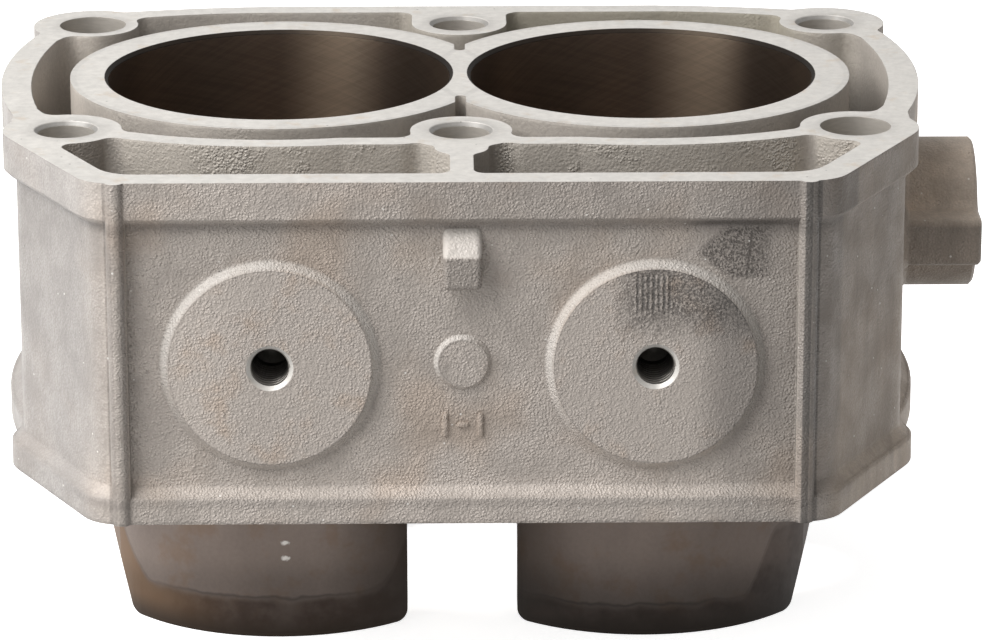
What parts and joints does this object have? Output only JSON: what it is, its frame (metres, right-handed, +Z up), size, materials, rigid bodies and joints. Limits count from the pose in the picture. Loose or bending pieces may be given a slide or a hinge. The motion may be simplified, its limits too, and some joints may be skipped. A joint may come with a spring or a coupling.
{
  "type": "cylinder barrel",
  "caption": "Cast aluminium cylinder barrel with open water jacket, front pushrod galleries, lower skirts and a coolant connection.",
  "frame": {"origin": "on the deck face midway between the two bores", "axes": "+X along the row of bores towards the coolant connection, +Y to the back, +Z up the bores and out of the deck"},
  "size_m": [0.2287, 0.1579, 0.124],
  "materials": {
    "cast_aluminium": "satin"
  },
  "bodies": {
    "root": {"cylinder_barrel": "cast_aluminium"}
  },
  "joints": []
}
